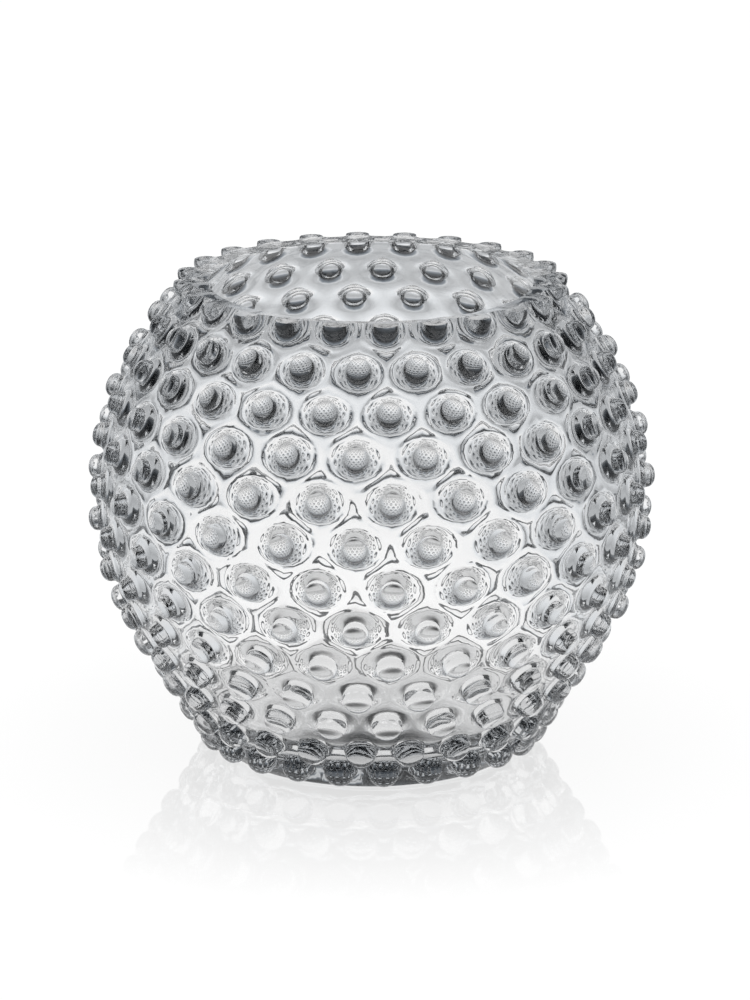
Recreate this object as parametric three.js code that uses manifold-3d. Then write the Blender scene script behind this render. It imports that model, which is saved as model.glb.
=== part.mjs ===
// A clear glass globe vase with rows of hobs, standing on its own flat base.
// The glass is one piece. The smooth vessel that holds the water is one solid, and the
// raised outside is one ring of relief for each row of hobs, set close around it.
// Millimetres, +Z up, origin at the middle of the base's underside. Angles around the
// vase start at the front, which faces -Y, and run towards +X.

import * as THREE from 'three';
import { mergeVertices } from 'three/addons/utils/BufferGeometryUtils.js';
import Module from 'manifold-3d';

// The wall: a globe that turns up in a slight lip, with a straight flank down to the base.
const GLOBE_RADIUS = 94.2; // outside of the wall between the hobs
const MOUTH_RADIUS = 62.1; // outside of the wall where the rim is ground flat
const BASE_RADIUS = 52.5; // outside of the wall where the flank meets the base
const FLANK_SLOPE = THREE.MathUtils.degToRad(32); // flank, measured from upright
const LIP_RISE = 3.5; // how far the lip stands off the globe's curve at the rim
const LIP_LENGTH = 30; // along the wall, from the rim to where the lip begins
const WALL = 2.4; // whole thickness of the glass between the hobs, below the lip
const RIM_WIDTH = 5.5; // of the ground rim, level
const BASE_THICKNESS = 9;

// The hobs: rows spread evenly down the wall, with one closer row at the foot.
const ROWS = 13;
const HOBS_PER_ROW = 24;
const RIM_TO_FIRST_ROW = 2.7; // along the wall, from the rim to the middle of a hob
const FOOT_ROW_PITCH = 10.7; // along the wall, between the two lowest rows
const BASE_TO_FOOT_ROW = 9.6; // along the wall, from the base to the lowest row
const HOB_HEIGHT = 5.7;
const HOB_SHOULDER_HEIGHT = 3.6;
const HOB_SHOULDER_RADIUS = 4.3;
const HOB_FLARE = 0.8; // how far the hob's foot spreads beyond its shoulder
const HOB_SIDES = 6;

// The relief rings around the vessel.
const RELIEF = 0.9; // thickness of a ring between its hobs
const CLEARANCE = 0.2; // between a ring and the vessel, and between two rings
const RIM_GRINDING = 2.5; // of the first ring, along the wall, ground off at the rim
const RING_ABOVE_BASE = 0.6; // along the wall, so that only the vessel touches the table

const GLASS = { color: 0xe6ebec, roughness: 0.04, metalness: 0, opacity: 0.35 };

// Two columns of facets to a hob, so that staggered rows share the vessel's facets.
const COLUMNS = 2 * HOBS_PER_ROW;
const HALF_PITCH = Math.PI / HOBS_PER_ROW;

const globeTop = Math.asin(MOUTH_RADIUS / (GLOBE_RADIUS + LIP_RISE));
const globeBottom = Math.PI / 2 + FLANK_SLOPE;
const globeLength = GLOBE_RADIUS * (globeBottom - globeTop);
const flankTopRadius = GLOBE_RADIUS * Math.cos(FLANK_SLOPE);
const flankTopHeight = (flankTopRadius - BASE_RADIUS) / Math.tan(FLANK_SLOPE);
const flankLength = flankTopHeight / Math.cos(FLANK_SLOPE);
const wallLength = globeLength + flankLength;
const globeCentre = flankTopHeight + GLOBE_RADIUS * Math.sin(FLANK_SLOPE);
const rimHeight = globeCentre + (GLOBE_RADIUS + LIP_RISE) * Math.cos(globeTop);
const vesselDepth = RELIEF + CLEARANCE;

// How far the outside stands off the globe's curve, at a distance along the wall below the rim.
function lipAt(along) {
  return along < LIP_LENGTH ? LIP_RISE * (1 - along / LIP_LENGTH) ** 2 : 0;
}

// Radius and height of a point of the wall, at a distance along the wall below the rim
// and a depth into the glass. A negative depth stands proud of the wall.
function wallPoint(along, depth) {
  if (along < globeLength) {
    const angle = globeTop + along / GLOBE_RADIUS;
    const reach = GLOBE_RADIUS + lipAt(along) - depth;
    return new THREE.Vector2(reach * Math.sin(angle), globeCentre + reach * Math.cos(angle));
  }
  const down = along - globeLength;
  const slopeSin = Math.sin(FLANK_SLOPE);
  const slopeCos = Math.cos(FLANK_SLOPE);
  return new THREE.Vector2(
    flankTopRadius - down * slopeSin - depth * slopeCos,
    flankTopHeight - down * slopeCos + depth * slopeSin,
  );
}

function aroundVase(along, around, depth) {
  const point = wallPoint(along, depth);
  return new THREE.Vector3(point.x * Math.sin(around), -point.x * Math.cos(around), point.y);
}

// Radius of the lip, at a depth into the glass, in the plane of the rim.
function lipRadius(depth) {
  return Math.sqrt((GLOBE_RADIUS + LIP_RISE - depth) ** 2 - (rimHeight - globeCentre) ** 2);
}

// Radius of the flank's surface, at a depth into the glass, at a height above the table.
function flankRadius(height, depth) {
  return BASE_RADIUS + height * Math.tan(FLANK_SLOPE) - depth / Math.cos(FLANK_SLOPE);
}

// Distance of each row along the wall, and of the joints between the rings.
function rowPlaces() {
  const footRow = wallLength - BASE_TO_FOOT_ROW;
  const lastEvenRow = footRow - FOOT_ROW_PITCH;
  const pitch = (lastEvenRow - RIM_TO_FIRST_ROW) / (ROWS - 2);
  const places = [];
  for (let row = 0; row < ROWS - 1; row += 1) {
    places.push(RIM_TO_FIRST_ROW + row * pitch);
  }
  places.push(footRow);
  return places;
}

const rows = rowPlaces();
const joints = rows.slice(1).map((place, row) => (place + rows[row]) / 2);

// The smooth vessel, turned around the axis: base, wall and ground rim. Its inside follows
// the lip halfway, so that the glass is thicker towards the rim.
function vesselGeometry() {
  const floorInside = flankRadius(BASE_THICKNESS, WALL);
  const levels = [rows[0], ...joints];
  const outside = levels.map((along) => wallPoint(along, vesselDepth)).reverse();
  const inside = levels.map((along) => wallPoint(along, WALL + lipAt(along) / 2));
  const profile = [
    new THREE.Vector2(0, 0),
    new THREE.Vector2(flankRadius(0, vesselDepth), 0),
    ...outside,
    new THREE.Vector2(lipRadius(vesselDepth), rimHeight),
    new THREE.Vector2(MOUTH_RADIUS - RIM_WIDTH, rimHeight),
    ...inside.filter((point) => point.y > BASE_THICKNESS),
    new THREE.Vector2(floorInside, BASE_THICKNESS),
    new THREE.Vector2(0, BASE_THICKNESS),
  ];
  return new THREE.LatheGeometry(profile, COLUMNS).rotateX(Math.PI / 2);
}

// One hob with its share of the ring around it, as triangles facing out.
function addHobCell(points, place, around, top, bottom) {
  const left = around - HALF_PITCH;
  const right = around + HALF_PITCH;
  const radius = wallPoint(place, 0).x;
  const middle = aroundVase(place, around, 0);
  const outward = aroundVase(place, around, -1).sub(middle);
  const sideways = new THREE.Vector3(Math.cos(around), Math.sin(around), 0);
  const downward = sideways.clone().cross(outward);
  const face = (a, b, c) => points.push(a, b, c);
  const quad = (a, b, c, d) => {
    face(a, b, c);
    face(a, c, d);
  };
  const sides = Array.from({ length: HOB_SIDES }, (_, side) => ((side - 1) * 2 * Math.PI) / HOB_SIDES);
  const footReach = HOB_SHOULDER_RADIUS + HOB_FLARE;
  const foot = sides.map((turn) =>
    aroundVase(
      place + footReach * Math.sin(turn),
      around + (footReach * Math.cos(turn)) / radius,
      0,
    ),
  );
  const shoulder = sides.map((turn) =>
    middle
      .clone()
      .addScaledVector(outward, HOB_SHOULDER_HEIGHT)
      .addScaledVector(sideways, HOB_SHOULDER_RADIUS * Math.cos(turn))
      .addScaledVector(downward, HOB_SHOULDER_RADIUS * Math.sin(turn)),
  );
  const tip = middle.clone().addScaledVector(outward, HOB_HEIGHT);
  const edge = (along, depth) => [left, around, right].map((turn) => aroundVase(along, turn, depth));
  const outerTop = edge(top, 0);
  const outerBottom = edge(bottom, 0);
  const innerTop = edge(top, RELIEF);
  const innerMiddle = edge(place, RELIEF);
  const innerBottom = edge(bottom, RELIEF);
  const outline = [
    outerTop[1],
    outerTop[2],
    outerBottom[2],
    outerBottom[1],
    outerBottom[0],
    outerTop[0],
  ];
  for (let side = 0; side < HOB_SIDES; side += 1) {
    const next = (side + 1) % HOB_SIDES;
    face(outline[next], outline[side], foot[side]);
    face(foot[side], foot[next], outline[next]);
    quad(foot[next], foot[side], shoulder[side], shoulder[next]);
    face(shoulder[next], shoulder[side], tip);
  }
  for (let column = 0; column < 2; column += 1) {
    const next = column + 1;
    quad(innerTop[column], innerTop[next], innerMiddle[next], innerMiddle[column]);
    quad(innerMiddle[column], innerMiddle[next], innerBottom[next], innerBottom[column]);
    quad(outerTop[column], outerTop[next], innerTop[next], innerTop[column]);
    quad(innerBottom[column], innerBottom[next], outerBottom[next], outerBottom[column]);
  }
}

// A whole ring of relief: every second row is turned by half a hob's pitch.
function ringGeometry(row) {
  const top = row === 0 ? -RIM_GRINDING : joints[row - 1] + CLEARANCE / 2;
  const bottom = row === ROWS - 1 ? wallLength - RING_ABOVE_BASE : joints[row] - CLEARANCE / 2;
  const stagger = row % 2 === 0 ? 0 : HALF_PITCH;
  const points = [];
  for (let hob = 0; hob < HOBS_PER_ROW; hob += 1) {
    addHobCell(points, rows[row], stagger + hob * 2 * HALF_PITCH, top, bottom);
  }
  return new THREE.BufferGeometry().setFromPoints(points);
}

const wasm = await Module();
wasm.setup();

function solidFrom(geometry) {
  const bare = new THREE.BufferGeometry();
  bare.setAttribute('position', geometry.getAttribute('position'));
  bare.setIndex(geometry.getIndex());
  const merged = mergeVertices(bare, 1e-4);
  return new wasm.Manifold(
    new wasm.Mesh({
      numProp: 3,
      vertProperties: new Float32Array(merged.getAttribute('position').array),
      triVerts: new Uint32Array(merged.getIndex().array),
    }),
  );
}

function geometryFrom(solid) {
  const mesh = solid.getMesh();
  const geometry = new THREE.BufferGeometry();
  geometry.setAttribute('position', new THREE.BufferAttribute(mesh.vertProperties, 3));
  geometry.setIndex(new THREE.BufferAttribute(mesh.triVerts, 1));
  return geometry;
}

// The rim is ground flat after moulding, which also takes the tops off the first row.
function groundAtRim(geometry) {
  const thickness = 2 * (RIM_GRINDING + HOB_HEIGHT);
  const wheel = new THREE.CylinderGeometry(GLOBE_RADIUS, GLOBE_RADIUS, thickness, COLUMNS);
  wheel.rotateX(Math.PI / 2).translate(0, 0, rimHeight + thickness / 2);
  return geometryFrom(solidFrom(geometry).subtract(solidFrom(wheel)));
}

function glassMesh(name, geometry) {
  const material = new THREE.MeshStandardMaterial({ ...GLASS, transparent: true });
  const bare = new THREE.BufferGeometry();
  bare.setAttribute('position', geometry.getAttribute('position'));
  bare.setIndex(geometry.getIndex());
  const merged = mergeVertices(bare, 1e-4);
  merged.computeVertexNormals();
  const mesh = new THREE.Mesh(merged, material);
  mesh.name = name;
  return mesh;
}

const vase = new THREE.Group();
vase.name = 'hobnail_vase';
vase.add(glassMesh('vessel', vesselGeometry()));
for (let row = 0; row < ROWS; row += 1) {
  const ring = ringGeometry(row);
  const name = `hob_row_${String(row + 1).padStart(2, '0')}`;
  vase.add(glassMesh(name, row === 0 ? groundAtRim(ring) : ring));
}

export default vase;
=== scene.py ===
import math

import bpy
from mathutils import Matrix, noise


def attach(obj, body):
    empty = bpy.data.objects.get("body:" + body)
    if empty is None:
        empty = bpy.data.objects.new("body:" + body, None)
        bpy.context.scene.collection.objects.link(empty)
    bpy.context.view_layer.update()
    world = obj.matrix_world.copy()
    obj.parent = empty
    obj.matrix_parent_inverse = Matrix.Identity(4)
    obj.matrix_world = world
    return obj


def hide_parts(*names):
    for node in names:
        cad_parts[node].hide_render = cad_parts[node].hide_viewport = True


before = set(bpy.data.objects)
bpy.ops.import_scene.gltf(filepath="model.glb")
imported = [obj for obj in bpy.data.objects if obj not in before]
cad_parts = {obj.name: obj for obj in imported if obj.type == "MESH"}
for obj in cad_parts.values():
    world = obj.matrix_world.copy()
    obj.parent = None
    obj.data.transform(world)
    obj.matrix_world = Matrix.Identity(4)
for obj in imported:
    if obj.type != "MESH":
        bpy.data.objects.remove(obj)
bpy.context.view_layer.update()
bpy.ops.object.select_all(action="DESELECT")


# The outside of the vase: clear glass blown into a mould, a globe on a cone cut flat at the
# base, with 13 staggered rows of 24 round knobs standing out of the wall, wider ones below. A
# row is drawn flat as a strip of knobs on their own patches of wall, then rolled round.
globe_radius = 0.0942
mouth_radius = 0.0621
base_radius = 0.0525
flank_slope = math.radians(32)
lip_rise = 0.0035
lip_length = 0.03
rows = 13
hobs_per_row = 24
rim_to_first_row = 0.0027
foot_row_pitch = 0.0107
base_to_foot_row = 0.0096
hob_height = 0.00567
upper_knob_radius = 0.0043
lower_knob_radius = 0.0054
upper_knob_fullness = 2.15
lower_knob_fullness = 2.5
upper_hollow_radius = 0.0013
lower_hollow_radius = 0.0005
skirt_radius = 0.007
skirt_reach = 0.0094
skirt_flattening = 0.2
skirt_width = 0.0106
patch_share = 0.97
last_upper_row = 7
rows_of_change = 2
spokes = 18
knob_steps = 6
hollow_steps = 3
skirt_steps = 3
heel = 0.0012
rim_spare = 0.01

globe_top = math.asin(mouth_radius / (globe_radius + lip_rise))
globe_length = (math.pi / 2 + flank_slope - globe_top) * globe_radius
flank_top_radius = globe_radius * math.cos(flank_slope)
flank_top_height = (flank_top_radius - base_radius) / math.tan(flank_slope)
flank_length = (flank_top_radius - base_radius) / math.sin(flank_slope)
globe_centre = flank_top_height + globe_radius * math.sin(flank_slope)
wall_length = globe_length + flank_length
rim_height = globe_centre + (globe_radius + lip_rise) * math.cos(globe_top)
half_turn = math.pi / hobs_per_row

row_pitch = (wall_length - base_to_foot_row - foot_row_pitch - rim_to_first_row) / (rows - 2)
row_places = [rim_to_first_row + row * row_pitch for row in range(rows - 1)]
row_places.append(wall_length - base_to_foot_row)


def on_wall(along, out):
    # Radius and height of a point that far along the wall from the rim, and that far out of it.
    if along < globe_length:
        angle = globe_top + along / globe_radius
        lip = lip_rise * max(0, 1 - along / lip_length) ** 2
        reach = globe_radius + lip + out
        return reach * math.sin(angle), globe_centre + reach * math.cos(angle)
    down = along - globe_length
    radius = flank_top_radius - down * math.sin(flank_slope) + out * math.cos(flank_slope)
    height = flank_top_height - down * math.cos(flank_slope) - out * math.sin(flank_slope)
    return radius, height


def seam_between(upper, lower):
    # The zigzag seam between two rows of patches: how high it comes up to the hobs below,
    # and how low it hangs under the hobs above.
    pitch = lower - upper
    middle = (lower + upper) / 2
    half_width = half_turn * on_wall(middle, 0)[0]
    swing = half_width ** 2 / (2 * pitch)
    return middle - swing, middle + swing


def patch_corners(row, places, top_edge, bottom_edge):
    # The six corners of a patch round its hob, drawn flat and clockwise from the top.
    place = places[row]
    half_width = half_turn * on_wall(place, 0)[0]
    top_high, top_low = top_edge, top_edge
    if row > 0:
        top_high, top_low = seam_between(places[row - 1], place)
    bottom_high, bottom_low = bottom_edge, bottom_edge
    if row + 1 < len(places):
        bottom_high, bottom_low = seam_between(place, places[row + 1])
    return [
        (0, place - top_high),
        (half_width, place - top_low),
        (half_width, place - bottom_high),
        (0, place - bottom_low),
        (-half_width, place - bottom_high),
        (-half_width, place - top_low),
    ]


def room_round(corners):
    # How far a hob can spread on its patch before it meets the patch's edge.
    nearest = []
    for (x0, y0), (x1, y1) in zip(corners, corners[1:] + corners[:1]):
        nearest.append(abs(x0 * y1 - x1 * y0) / math.hypot(x1 - x0, y1 - y0))
    return min(nearest)


def flat_patch(tip, rings, corners):
    # One hob drawn flat: a small disc for its tip, drawn out ring by ring to the wall, and
    # from there to the edge of its patch.
    bpy.ops.object.select_all(action="DESELECT")
    reach, height = rings[0]
    bpy.ops.mesh.primitive_circle_add(vertices=spokes, radius=reach, fill_type="TRIFAN")
    patch = bpy.context.object
    bpy.ops.object.mode_set(mode="EDIT")
    bpy.ops.mesh.select_mode(type="EDGE")
    bpy.ops.mesh.select_all(action="SELECT")
    bpy.ops.transform.translate(value=(0, 0, height))
    bpy.ops.mesh.region_to_loop()
    for next_reach, next_height in rings[1:] + [(2 * rings[-1][0], rings[-1][1])]:
        bpy.ops.mesh.extrude_edges_move(
            TRANSFORM_OT_translate={"value": (0, 0, next_height - height)}
        )
        grow = next_reach / reach
        bpy.ops.transform.resize(value=(grow, grow, 1), center_override=(0, 0, next_height))
        reach, height = next_reach, next_height
    bpy.ops.object.mode_set(mode="OBJECT")
    per_side = spokes // 6
    for vertex in patch.data.vertices:
        if vertex.select:
            turn = math.atan2(vertex.co.x, vertex.co.y) / (2 * math.pi)
            side, step = divmod(round(turn * spokes) % spokes, per_side)
            (x0, y0), (x1, y1) = corners[side], corners[(side + 1) % 6]
            share = step / per_side
            vertex.co.x = x0 + (x1 - x0) * share
            vertex.co.y = y0 + (y1 - y0) * share
        elif math.hypot(vertex.co.x, vertex.co.y) < 1e-6:
            vertex.co.z = tip
    return patch


def rolled_row(patch, row, place):
    # The patch repeated into a strip, and the strip rolled round the vase at its own height.
    radius = on_wall(place, 0)[0]
    strip = patch.modifiers.new("strip", "ARRAY")
    strip.count = hobs_per_row
    strip.use_relative_offset = False
    strip.use_constant_offset = True
    strip.constant_offset_displace = (2 * half_turn * radius, 0, 0)
    bpy.ops.object.modifier_apply(modifier="strip")
    stagger = half_turn * (row % 2)
    for vertex in patch.data.vertices:
        turn = vertex.co.x / radius + stagger
        reach, height = on_wall(place - vertex.co.y, vertex.co.z)
        vertex.co = (reach * math.sin(turn), -reach * math.cos(turn), height)


def hob_rings(spread, knob_radius, knob_fullness, hollow_radius):
    # A button with a flat tip and steep sides, a small hollow where it meets its skirt, and
    # the skirt, which is dished out of the wall around it and runs out flat.
    skirt_to_hollow = skirt_radius - hollow_radius
    lean = math.asin((spread - knob_radius - hollow_radius) / skirt_to_hollow)
    hollow_height = skirt_radius - skirt_to_hollow * math.cos(lean)
    cap = hob_height - hollow_height
    rings = []
    for step in range(1, knob_steps + 1):
        angle = math.radians(90 / knob_steps * step)
        across = math.sin(angle) ** (2 / knob_fullness)
        up = max(0, math.cos(angle)) ** (2 / knob_fullness)
        rings.append((knob_radius * across, hollow_height + cap * up))
    for step in range(1, hollow_steps + 1):
        angle = math.pi / 2 + (lean - math.pi / 2) * step / hollow_steps
        rings.append(
            (
                knob_radius + hollow_radius - hollow_radius * math.sin(angle),
                hollow_height - hollow_radius * math.cos(angle),
            )
        )
    for step in range(1, skirt_steps + 1):
        angle = lean * (1 - step / skirt_steps)
        out = spread - skirt_radius * math.sin(angle)
        rings.append((out, skirt_radius * (1 - math.cos(angle))))
    return [(reach / (1 + height / globe_radius), height) for reach, height in rings]


def by_row(upper, lower, row):
    # A size of the upper rows that turns into the lower rows' own within a few rows.
    low = max(0, min(1, (row - last_upper_row) / rows_of_change))
    return upper + (lower - upper) * low


glass_sheets = []
for row, place in enumerate(row_places):
    corners = patch_corners(row, row_places, -rim_spare, wall_length - heel)
    spread = min(skirt_reach, patch_share * room_round(corners))
    widening = min(skirt_width, patch_share * corners[1][0]) / spread - 1
    knob_radius = by_row(upper_knob_radius, lower_knob_radius, row)
    hollow_radius = by_row(upper_hollow_radius, lower_hollow_radius, row)
    knob_fullness = by_row(upper_knob_fullness, lower_knob_fullness, row)
    rings = hob_rings(spread, knob_radius, knob_fullness, hollow_radius)
    patch = flat_patch(hob_height, rings, corners)
    for vertex in patch.data.vertices:
        if not vertex.select:
            out = math.hypot(vertex.co.x, vertex.co.y) - knob_radius
            run_out = max(0, out) / (spread - knob_radius)
            vertex.co.y *= 1 - skirt_flattening * run_out
            vertex.co.x *= 1 + widening * run_out
    rolled_row(patch, row, place)
    glass_sheets.append(patch)


# The base: the cone ends in a small rounded heel, and the glass under it is ground flat, so
# that the vase stands without rocking.
heel_edge = 0.0003
heel_inset = 0.0011


def pick_ring(sheet, height):
    # Opens the sheet for editing with the ring of edges at that height picked.
    bpy.ops.object.select_all(action="DESELECT")
    bpy.context.view_layer.objects.active = sheet
    sheet.select_set(True)
    bpy.ops.object.mode_set(mode="EDIT")
    bpy.ops.mesh.select_mode(type="VERT")
    bpy.ops.mesh.select_all(action="DESELECT")
    bpy.ops.object.mode_set(mode="OBJECT")
    for vertex in sheet.data.vertices:
        vertex.select = abs(vertex.co.z - height) < 1e-6
    bpy.ops.object.mode_set(mode="EDIT")
    bpy.ops.mesh.remove_doubles(threshold=1e-6)
    bpy.ops.mesh.select_mode(type="EDGE")


def draw_in(rings, radius, height):
    # Draws the picked ring on through the given radii and heights, and closes it in the middle.
    for next_radius, next_height in rings:
        bpy.ops.mesh.extrude_edges_move(
            TRANSFORM_OT_translate={"value": (0, 0, next_height - height)}
        )
        grow = next_radius / radius
        bpy.ops.transform.resize(value=(grow, grow, 1), center_override=(0, 0, next_height))
        radius, height = next_radius, next_height
    bpy.ops.mesh.extrude_edges_move()
    bpy.ops.mesh.merge(type="CENTER")
    bpy.ops.object.mode_set(mode="OBJECT")


heel_radius, heel_height = on_wall(wall_length - heel, 0)
pick_ring(glass_sheets[-1], heel_height)
draw_in(
    [(base_radius - heel_edge, heel_edge), (base_radius - heel_inset, 0), (base_radius / 2, 0)],
    heel_radius,
    heel_height,
)


# The inside of the vase: bare glass that was blown out into the mould and touched no tool, so
# it is smooth with a faint ripple. The flank is a little thinner than the globe, and the thick
# bottom is rounded up into the wall like a bowl.
wall = 0.0024
rim_width = 0.0055
rim_face_drop = 0.0008
bottom_thickness = 0.009
thinned = 0.0007
thinning_start = 0.08
thinning_length = 0.05
inside_start = 0.001
inside_steps = 36
inside_sides = 120
bowl_radius = 0.03
bowl_steps = 10
ripple = 0.0006
ripple_length = 0.016
plain_below_rim = 0.004
plain_middle = 0.001

flank_wall = wall - thinned
bottom_length = (bottom_thickness - flank_wall * math.sin(flank_slope)) / math.cos(flank_slope)
bowl_turn = math.pi / 2 - flank_slope
bowl_corner = wall_length - bottom_length
inside_end = bowl_corner - bowl_radius * math.tan(bowl_turn / 2)
inside_rings = []
for step in range(0, inside_steps + 1):
    along = inside_start + (inside_end - inside_start) * step / inside_steps
    thickening = lip_rise / 2 * max(0, 1 - along / lip_length) ** 2
    thinning = thinned * max(0, min(1, (along - thinning_start) / thinning_length))
    inside_rings.append(on_wall(along, thinning - wall - thickening))
bowl_middle = on_wall(bowl_corner, -flank_wall)[0] - bowl_radius * math.tan(bowl_turn / 2)
for step in range(1, bowl_steps + 1):
    angle = bowl_turn * (1 - step / bowl_steps)
    across = bowl_middle + bowl_radius * math.sin(angle)
    inside_rings.append((across, bottom_thickness + bowl_radius * (1 - math.cos(angle))))
inside_rings.append((bowl_middle / 2, bottom_thickness))
top_radius, top_height = mouth_radius - rim_width, rim_height - rim_face_drop
bpy.ops.object.select_all(action="DESELECT")
bpy.ops.mesh.primitive_circle_add(vertices=inside_sides, radius=top_radius)
inside = bpy.context.object
bpy.ops.object.mode_set(mode="EDIT")
bpy.ops.mesh.select_mode(type="EDGE")
bpy.ops.mesh.select_all(action="SELECT")
bpy.ops.transform.translate(value=(0, 0, top_height))
draw_in(inside_rings, top_radius, top_height)
for vertex in inside.data.vertices:
    below_rim = vertex.co.z < top_height - plain_below_rim
    if below_rim and vertex.co.xy.length > plain_middle:
        wave = ripple * noise.noise(vertex.co / ripple_length)
        vertex.co.x *= 1 + wave / globe_radius
        vertex.co.y *= 1 + wave / globe_radius
        vertex.co.z += wave / 2
glass_sheets.append(inside)


# The rim: the blown top is cracked off and ground flat, which also takes the tops off the
# first row of hobs. The outside and the inside meet here in one closed body of glass.
bpy.ops.object.select_all(action="DESELECT")
for sheet in glass_sheets:
    sheet.select_set(True)
vase = glass_sheets[0]
bpy.context.view_layer.objects.active = vase
bpy.ops.object.join()
vase.name = "hobnail_vase"
vase.data.name = "hobnail_vase"
bpy.ops.object.mode_set(mode="EDIT")
bpy.ops.mesh.select_mode(type="VERT")
bpy.ops.mesh.select_all(action="SELECT")
bpy.ops.mesh.remove_doubles(threshold=2e-6)
bpy.ops.mesh.select_all(action="SELECT")
bpy.ops.mesh.bisect(
    plane_co=(0, 0, rim_height), plane_no=(0, 0, 1), clear_outer=True, threshold=1e-7
)
bpy.ops.mesh.select_all(action="DESELECT")
bpy.ops.mesh.select_non_manifold()
bpy.ops.mesh.fill()
bpy.ops.mesh.select_all(action="SELECT")
bpy.ops.mesh.normals_make_consistent(inside=False)
bpy.ops.object.mode_set(mode="OBJECT")
bpy.ops.object.shade_smooth_by_angle(angle=math.radians(38))


# The glass: clear, with a light grey that shows where it is thick. Its skin came out of the
# fire bright and very slightly wavy, and only the ground rim is finely matt.
glass_grey = (0.49, 0.51, 0.53, 1)
matt_from = 0.0011
matt_full = 0.0007

glass = bpy.data.materials.new("clear_glass")
glass.use_nodes = True
nodes, links = glass.node_tree.nodes, glass.node_tree.links
shader = nodes["Principled BSDF"]
shader.inputs["Base Color"].default_value = (1, 1, 1, 1)
shader.inputs["Transmission Weight"].default_value = 1
shader.inputs["IOR"].default_value = 1.5
on_vase = nodes.new("ShaderNodeTexCoord")
fire_polish = nodes.new("ShaderNodeTexNoise")
fire_polish.inputs["Scale"].default_value = 140
fire_polish.inputs["Detail"].default_value = 1
ripples = nodes.new("ShaderNodeBump")
ripples.inputs["Strength"].default_value = 0.12
ripples.inputs["Distance"].default_value = 0.0004
heights = nodes.new("ShaderNodeSeparateXYZ")
ground = nodes.new("ShaderNodeMapRange")
ground.inputs["From Min"].default_value = rim_height - matt_from
ground.inputs["From Max"].default_value = rim_height - matt_full
grinding = nodes.new("ShaderNodeTexNoise")
grinding.inputs["Scale"].default_value = 900
grinding.inputs["Detail"].default_value = 3
satin = nodes.new("ShaderNodeMath")
satin.operation = "MULTIPLY"
satin.inputs[1].default_value = 0.16
on_rim = nodes.new("ShaderNodeMath")
on_rim.operation = "MULTIPLY"
links.new(on_vase.outputs["Object"], fire_polish.inputs["Vector"])
links.new(fire_polish.outputs["Fac"], ripples.inputs["Height"])
links.new(ripples.outputs[0], shader.inputs["Normal"])
links.new(on_vase.outputs["Object"], heights.inputs[0])
links.new(heights.outputs["Z"], ground.inputs["Value"])
links.new(on_vase.outputs["Object"], grinding.inputs["Vector"])
links.new(grinding.outputs["Fac"], satin.inputs[0])
links.new(satin.outputs[0], on_rim.inputs[0])
links.new(ground.outputs[0], on_rim.inputs[1])
links.new(on_rim.outputs[0], shader.inputs["Roughness"])
smoke = nodes.new("ShaderNodeVolumeAbsorption")
smoke.inputs["Color"].default_value = glass_grey
smoke.inputs["Density"].default_value = 12
links.new(smoke.outputs[0], nodes["Material Output"].inputs["Volume"])
vase.data.materials.clear()
vase.data.materials.append(glass)

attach(vase, "root")
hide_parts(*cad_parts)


# The floor: a white studio table with a faint gloss, so that the foot of the vase shows in it.
# The camera sees its glow evenly white, but what the glass shows of it is painted light:
# white around the vase, painted shade under the front half of the base, and painted shade
# towards the far end and the sides, which is what draws the dark lines in the glass.
table_size = 12
table_drop = 0.0001
table_grey = (0.07, 0.07, 0.07, 1)
seen_white = (0.985, 0.985, 0.985, 1)
light_reach = 2
side_falloff = 3.6
gloss_share = 0.3
gloss_near, gloss_far = 0.05, 0.17
# Painted shade: under the front half of the base the glow that the glass sees drops to
# dim_share.
dim_near, dim_far = 0.004, 0.023
dim_share = 0.03
dim_shape = (0.5, 0.6, 1)
dim_shift = (0, 0.013, 0)

bpy.ops.object.select_all(action="DESELECT")
bpy.ops.mesh.primitive_plane_add(size=table_size, location=(0, 0, -table_drop))
floor = bpy.context.object
floor.name = "studio_floor"
table_white = bpy.data.materials.new("table_white")
table_white.use_nodes = True
nodes, links = table_white.node_tree.nodes, table_white.node_tree.links
nodes.clear()
output = nodes.new("ShaderNodeOutputMaterial")
matt = nodes.new("ShaderNodeBsdfDiffuse")
matt.inputs["Color"].default_value = table_grey
glow = nodes.new("ShaderNodeEmission")
white = nodes.new("ShaderNodeAddShader")
gloss = nodes.new("ShaderNodeBsdfGlossy")
gloss.inputs["Roughness"].default_value = 0.02
polish = nodes.new("ShaderNodeMixShader")
place_on_floor = nodes.new("ShaderNodeTexCoord")
from_vase = nodes.new("ShaderNodeVectorMath")
from_vase.operation = "LENGTH"
sides_nearer = nodes.new("ShaderNodeVectorMath")
sides_nearer.operation = "MULTIPLY"
sides_nearer.inputs[1].default_value = (side_falloff, 1, 1)
out_of_light = nodes.new("ShaderNodeVectorMath")
out_of_light.operation = "LENGTH"
reach_of_light = nodes.new("ShaderNodeMapRange")
reach_of_light.inputs["From Max"].default_value = light_reach
# Painted shade: the glow that the glass sees is white near the vase and greys towards the far
# end and the sides.
painted_falloff = nodes.new("ShaderNodeValToRGB")
shades = painted_falloff.color_ramp.elements
shades[0].position = 0
shades[0].color = (0.9, 0.9, 0.9, 1)
shades[1].position = 1
shades[1].color = (0.46, 0.475, 0.49, 1)
for position, shade in ((0.03, 1), (0.16, 1)):
    shades.new(position).color = (shade, shade, shade, 1)
for position, shade in ((0.25, 0.83), (0.4, 0.55), (0.6, 0.42)):
    shades.new(position).color = (shade * 0.97, shade, shade * 1.03, 1)
rays = nodes.new("ShaderNodeLightPath")
shiny = nodes.new("ShaderNodeMath")
shiny.operation = "MAXIMUM"
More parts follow.
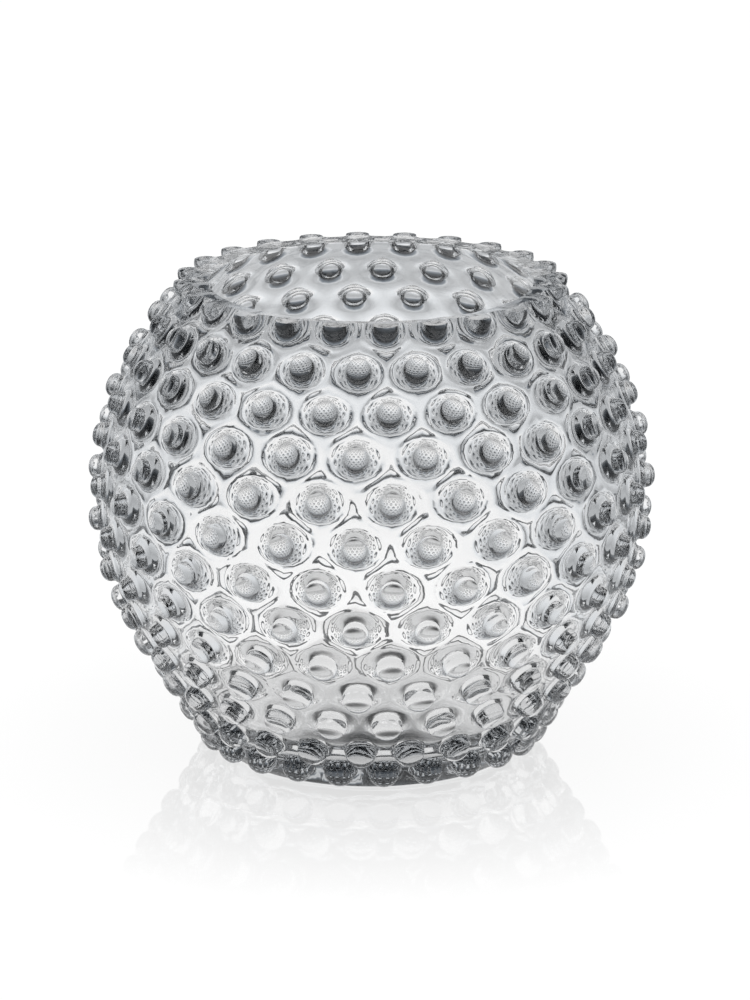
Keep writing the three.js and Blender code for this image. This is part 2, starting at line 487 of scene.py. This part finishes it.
# Painted shade: an oval under the front half of the base where the glow is dimmed.
under_base = nodes.new("ShaderNodeVectorMath")
under_base.operation = "MULTIPLY_ADD"
under_base.inputs[1].default_value = dim_shape
under_base.inputs[2].default_value = dim_shift
from_middle = nodes.new("ShaderNodeVectorMath")
from_middle.operation = "LENGTH"
painted_dim_under_base = nodes.new("ShaderNodeMapRange")
painted_dim_under_base.interpolation_type = "SMOOTHSTEP"
painted_dim_under_base.inputs["From Min"].default_value = dim_near
painted_dim_under_base.inputs["From Max"].default_value = dim_far
painted_dim_under_base.inputs["To Min"].default_value = dim_share
painted_dim_under_base.inputs["To Max"].default_value = 1
through_glass = nodes.new("ShaderNodeMath")
through_glass.operation = "MULTIPLY"
lit = nodes.new("ShaderNodeMath")
lit.operation = "MAXIMUM"
seen = nodes.new("ShaderNodeMixRGB")
seen.inputs["Color2"].default_value = seen_white
fading = nodes.new("ShaderNodeMapRange")
fading.inputs["From Min"].default_value = gloss_near
fading.inputs["From Max"].default_value = gloss_far
fading.inputs["To Min"].default_value = gloss_share
fading.inputs["To Max"].default_value = 0
links.new(place_on_floor.outputs["Object"], from_vase.inputs[0])
links.new(place_on_floor.outputs["Object"], sides_nearer.inputs[0])
links.new(sides_nearer.outputs[0], out_of_light.inputs[0])
links.new(out_of_light.outputs["Value"], reach_of_light.inputs["Value"])
links.new(reach_of_light.outputs[0], painted_falloff.inputs["Fac"])
links.new(rays.outputs["Is Glossy Ray"], shiny.inputs[0])
links.new(rays.outputs["Is Transmission Ray"], shiny.inputs[1])
links.new(place_on_floor.outputs["Object"], under_base.inputs[0])
links.new(under_base.outputs[0], from_middle.inputs[0])
links.new(from_middle.outputs["Value"], painted_dim_under_base.inputs["Value"])
links.new(shiny.outputs[0], through_glass.inputs[0])
links.new(painted_dim_under_base.outputs[0], through_glass.inputs[1])
links.new(through_glass.outputs[0], lit.inputs[0])
links.new(rays.outputs["Is Camera Ray"], lit.inputs[1])
links.new(rays.outputs["Is Camera Ray"], seen.inputs["Fac"])
links.new(painted_falloff.outputs["Color"], seen.inputs["Color1"])
links.new(seen.outputs[0], glow.inputs["Color"])
links.new(lit.outputs[0], glow.inputs["Strength"])
links.new(matt.outputs[0], white.inputs[0])
links.new(glow.outputs[0], white.inputs[1])
links.new(from_vase.outputs["Value"], fading.inputs["Value"])
links.new(fading.outputs[0], polish.inputs["Fac"])
links.new(white.outputs[0], polish.inputs[1])
links.new(gloss.outputs[0], polish.inputs[2])
links.new(polish.outputs[0], output.inputs["Surface"])
floor.data.materials.append(table_white)


# The light: a soft white room. What the glass shows of it is a pale backdrop that fades
# upwards, to both sides and towards the camera, and a dim ceiling. The table's gloss shows
# a white band of the backdrop, so that the reflection of the vase lies on white.
room_white = 0.55
side_start, side_end, side_share = 0.3, 0.9, 0.3
front_start, front_end, front_share = -0.4, -0.1, 0.35
band_behind, band_height, band_half = 0.6, 0.34, 0.06

room = bpy.data.worlds.new("studio")
bpy.context.scene.world = room
room.use_nodes = True
nodes, links = room.node_tree.nodes, room.node_tree.links
nodes.clear()
output = nodes.new("ShaderNodeOutputWorld")
soft = nodes.new("ShaderNodeBackground")
soft.inputs["Color"].default_value = (1, 1, 1, 1)
soft.inputs["Strength"].default_value = room_white
backdrop = nodes.new("ShaderNodeBackground")
direction = nodes.new("ShaderNodeTexCoord")
split = nodes.new("ShaderNodeSeparateXYZ")
upwards = nodes.new("ShaderNodeValToRGB")
stops = upwards.color_ramp.elements
stops[0].position = 0
stops[0].color = (0.62, 0.64, 0.66, 1)
stops[1].position = 1
stops[1].color = (0.028, 0.03, 0.033, 1)
for position, shade in ((0.06, 0.27), (0.17, 0.09), (0.34, 0.026), (0.5, 0.014)):
    stops.new(position).color = (shade * 0.9, shade, shade * 1.12, 1)
sideways = nodes.new("ShaderNodeMath")
sideways.operation = "ABSOLUTE"
to_sides = nodes.new("ShaderNodeMapRange")
to_sides.inputs["From Min"].default_value = side_start
to_sides.inputs["From Max"].default_value = side_end
to_sides.inputs["To Min"].default_value = 1
to_sides.inputs["To Max"].default_value = side_share
to_front = nodes.new("ShaderNodeMapRange")
to_front.inputs["From Min"].default_value = front_start
to_front.inputs["From Max"].default_value = front_end
to_front.inputs["To Min"].default_value = front_share
to_front.inputs["To Max"].default_value = 1
dimmed = nodes.new("ShaderNodeMath")
dimmed.operation = "MULTIPLY"
camera_sees = nodes.new("ShaderNodeBackground")
camera_sees.inputs["Color"].default_value = (1, 1, 1, 1)
camera_sees.inputs["Strength"].default_value = 1
rays = nodes.new("ShaderNodeLightPath")
shiny = nodes.new("ShaderNodeMath")
shiny.operation = "MAXIMUM"
for_glass = nodes.new("ShaderNodeMixShader")
for_camera = nodes.new("ShaderNodeMixShader")
behind = nodes.new("ShaderNodeMath")
behind.operation = "GREATER_THAN"
behind.inputs[1].default_value = band_behind
high_enough = nodes.new("ShaderNodeMath")
high_enough.operation = "COMPARE"
high_enough.inputs[1].default_value = band_height
high_enough.inputs[2].default_value = band_half
band = nodes.new("ShaderNodeMath")
band.operation = "MULTIPLY"
table_sees = nodes.new("ShaderNodeMath")
table_sees.operation = "MULTIPLY"
not_glass = nodes.new("ShaderNodeMath")
not_glass.operation = "SUBTRACT"
not_glass.inputs[0].default_value = 1
only_table = nodes.new("ShaderNodeMath")
only_table.operation = "MULTIPLY"
whites = nodes.new("ShaderNodeMath")
whites.operation = "MAXIMUM"
links.new(direction.outputs["Generated"], split.inputs[0])
links.new(split.outputs["Z"], upwards.inputs["Fac"])
links.new(upwards.outputs["Color"], backdrop.inputs["Color"])
links.new(split.outputs["X"], sideways.inputs[0])
links.new(sideways.outputs[0], to_sides.inputs["Value"])
links.new(split.outputs["Y"], to_front.inputs["Value"])
links.new(to_sides.outputs[0], dimmed.inputs[0])
links.new(to_front.outputs[0], dimmed.inputs[1])
links.new(dimmed.outputs[0], backdrop.inputs["Strength"])
links.new(rays.outputs["Is Glossy Ray"], shiny.inputs[0])
links.new(rays.outputs["Is Transmission Ray"], shiny.inputs[1])
links.new(shiny.outputs[0], for_glass.inputs["Fac"])
links.new(soft.outputs[0], for_glass.inputs[1])
links.new(backdrop.outputs[0], for_glass.inputs[2])
links.new(split.outputs["Y"], behind.inputs[0])
links.new(rays.outputs["Is Glossy Ray"], table_sees.inputs[0])
links.new(split.outputs["Z"], high_enough.inputs[0])
links.new(behind.outputs[0], band.inputs[0])
links.new(high_enough.outputs[0], band.inputs[1])
links.new(band.outputs[0], table_sees.inputs[1])
links.new(rays.outputs["Is Transmission Ray"], not_glass.inputs[1])
links.new(table_sees.outputs[0], only_table.inputs[0])
links.new(not_glass.outputs[0], only_table.inputs[1])
links.new(rays.outputs["Is Camera Ray"], whites.inputs[0])
links.new(only_table.outputs[0], whites.inputs[1])
links.new(whites.outputs[0], for_camera.inputs["Fac"])
links.new(for_glass.outputs[0], for_camera.inputs[1])
links.new(camera_sees.outputs[0], for_camera.inputs[2])
links.new(for_camera.outputs[0], output.inputs["Surface"])


# The camera: a long lens a little above the vase and to its left, as in the photograph. Light
# that goes through glass many times over needs long paths.
eye_distance = 1.89
eye_height = math.radians(16.5)
eye_turn = math.radians(-4.32)
aim_height = 0.0887
aim_side = 0.0014
aim = (aim_side * math.cos(eye_turn), aim_side * math.sin(eye_turn), aim_height)
lens = bpy.data.cameras.new("camera")
lens.sensor_fit = "VERTICAL"
lens.sensor_height = 36
lens.lens = 193.2
lens.clip_start = 0.05
lens.clip_end = 100
camera = bpy.data.objects.new("camera", lens)
bpy.context.scene.collection.objects.link(camera)
camera.location = (
    aim[0] + eye_distance * math.cos(eye_height) * math.sin(eye_turn),
    aim[1] - eye_distance * math.cos(eye_height) * math.cos(eye_turn),
    aim[2] + eye_distance * math.sin(eye_height),
)
camera.rotation_euler = (math.pi / 2 - eye_height, 0, eye_turn)
bpy.context.scene.camera = camera

bpy.context.scene.view_settings.view_transform = "Standard"
bpy.context.scene.cycles.max_bounces = 32
bpy.context.scene.cycles.transmission_bounces = 32
bpy.context.scene.cycles.glossy_bounces = 16
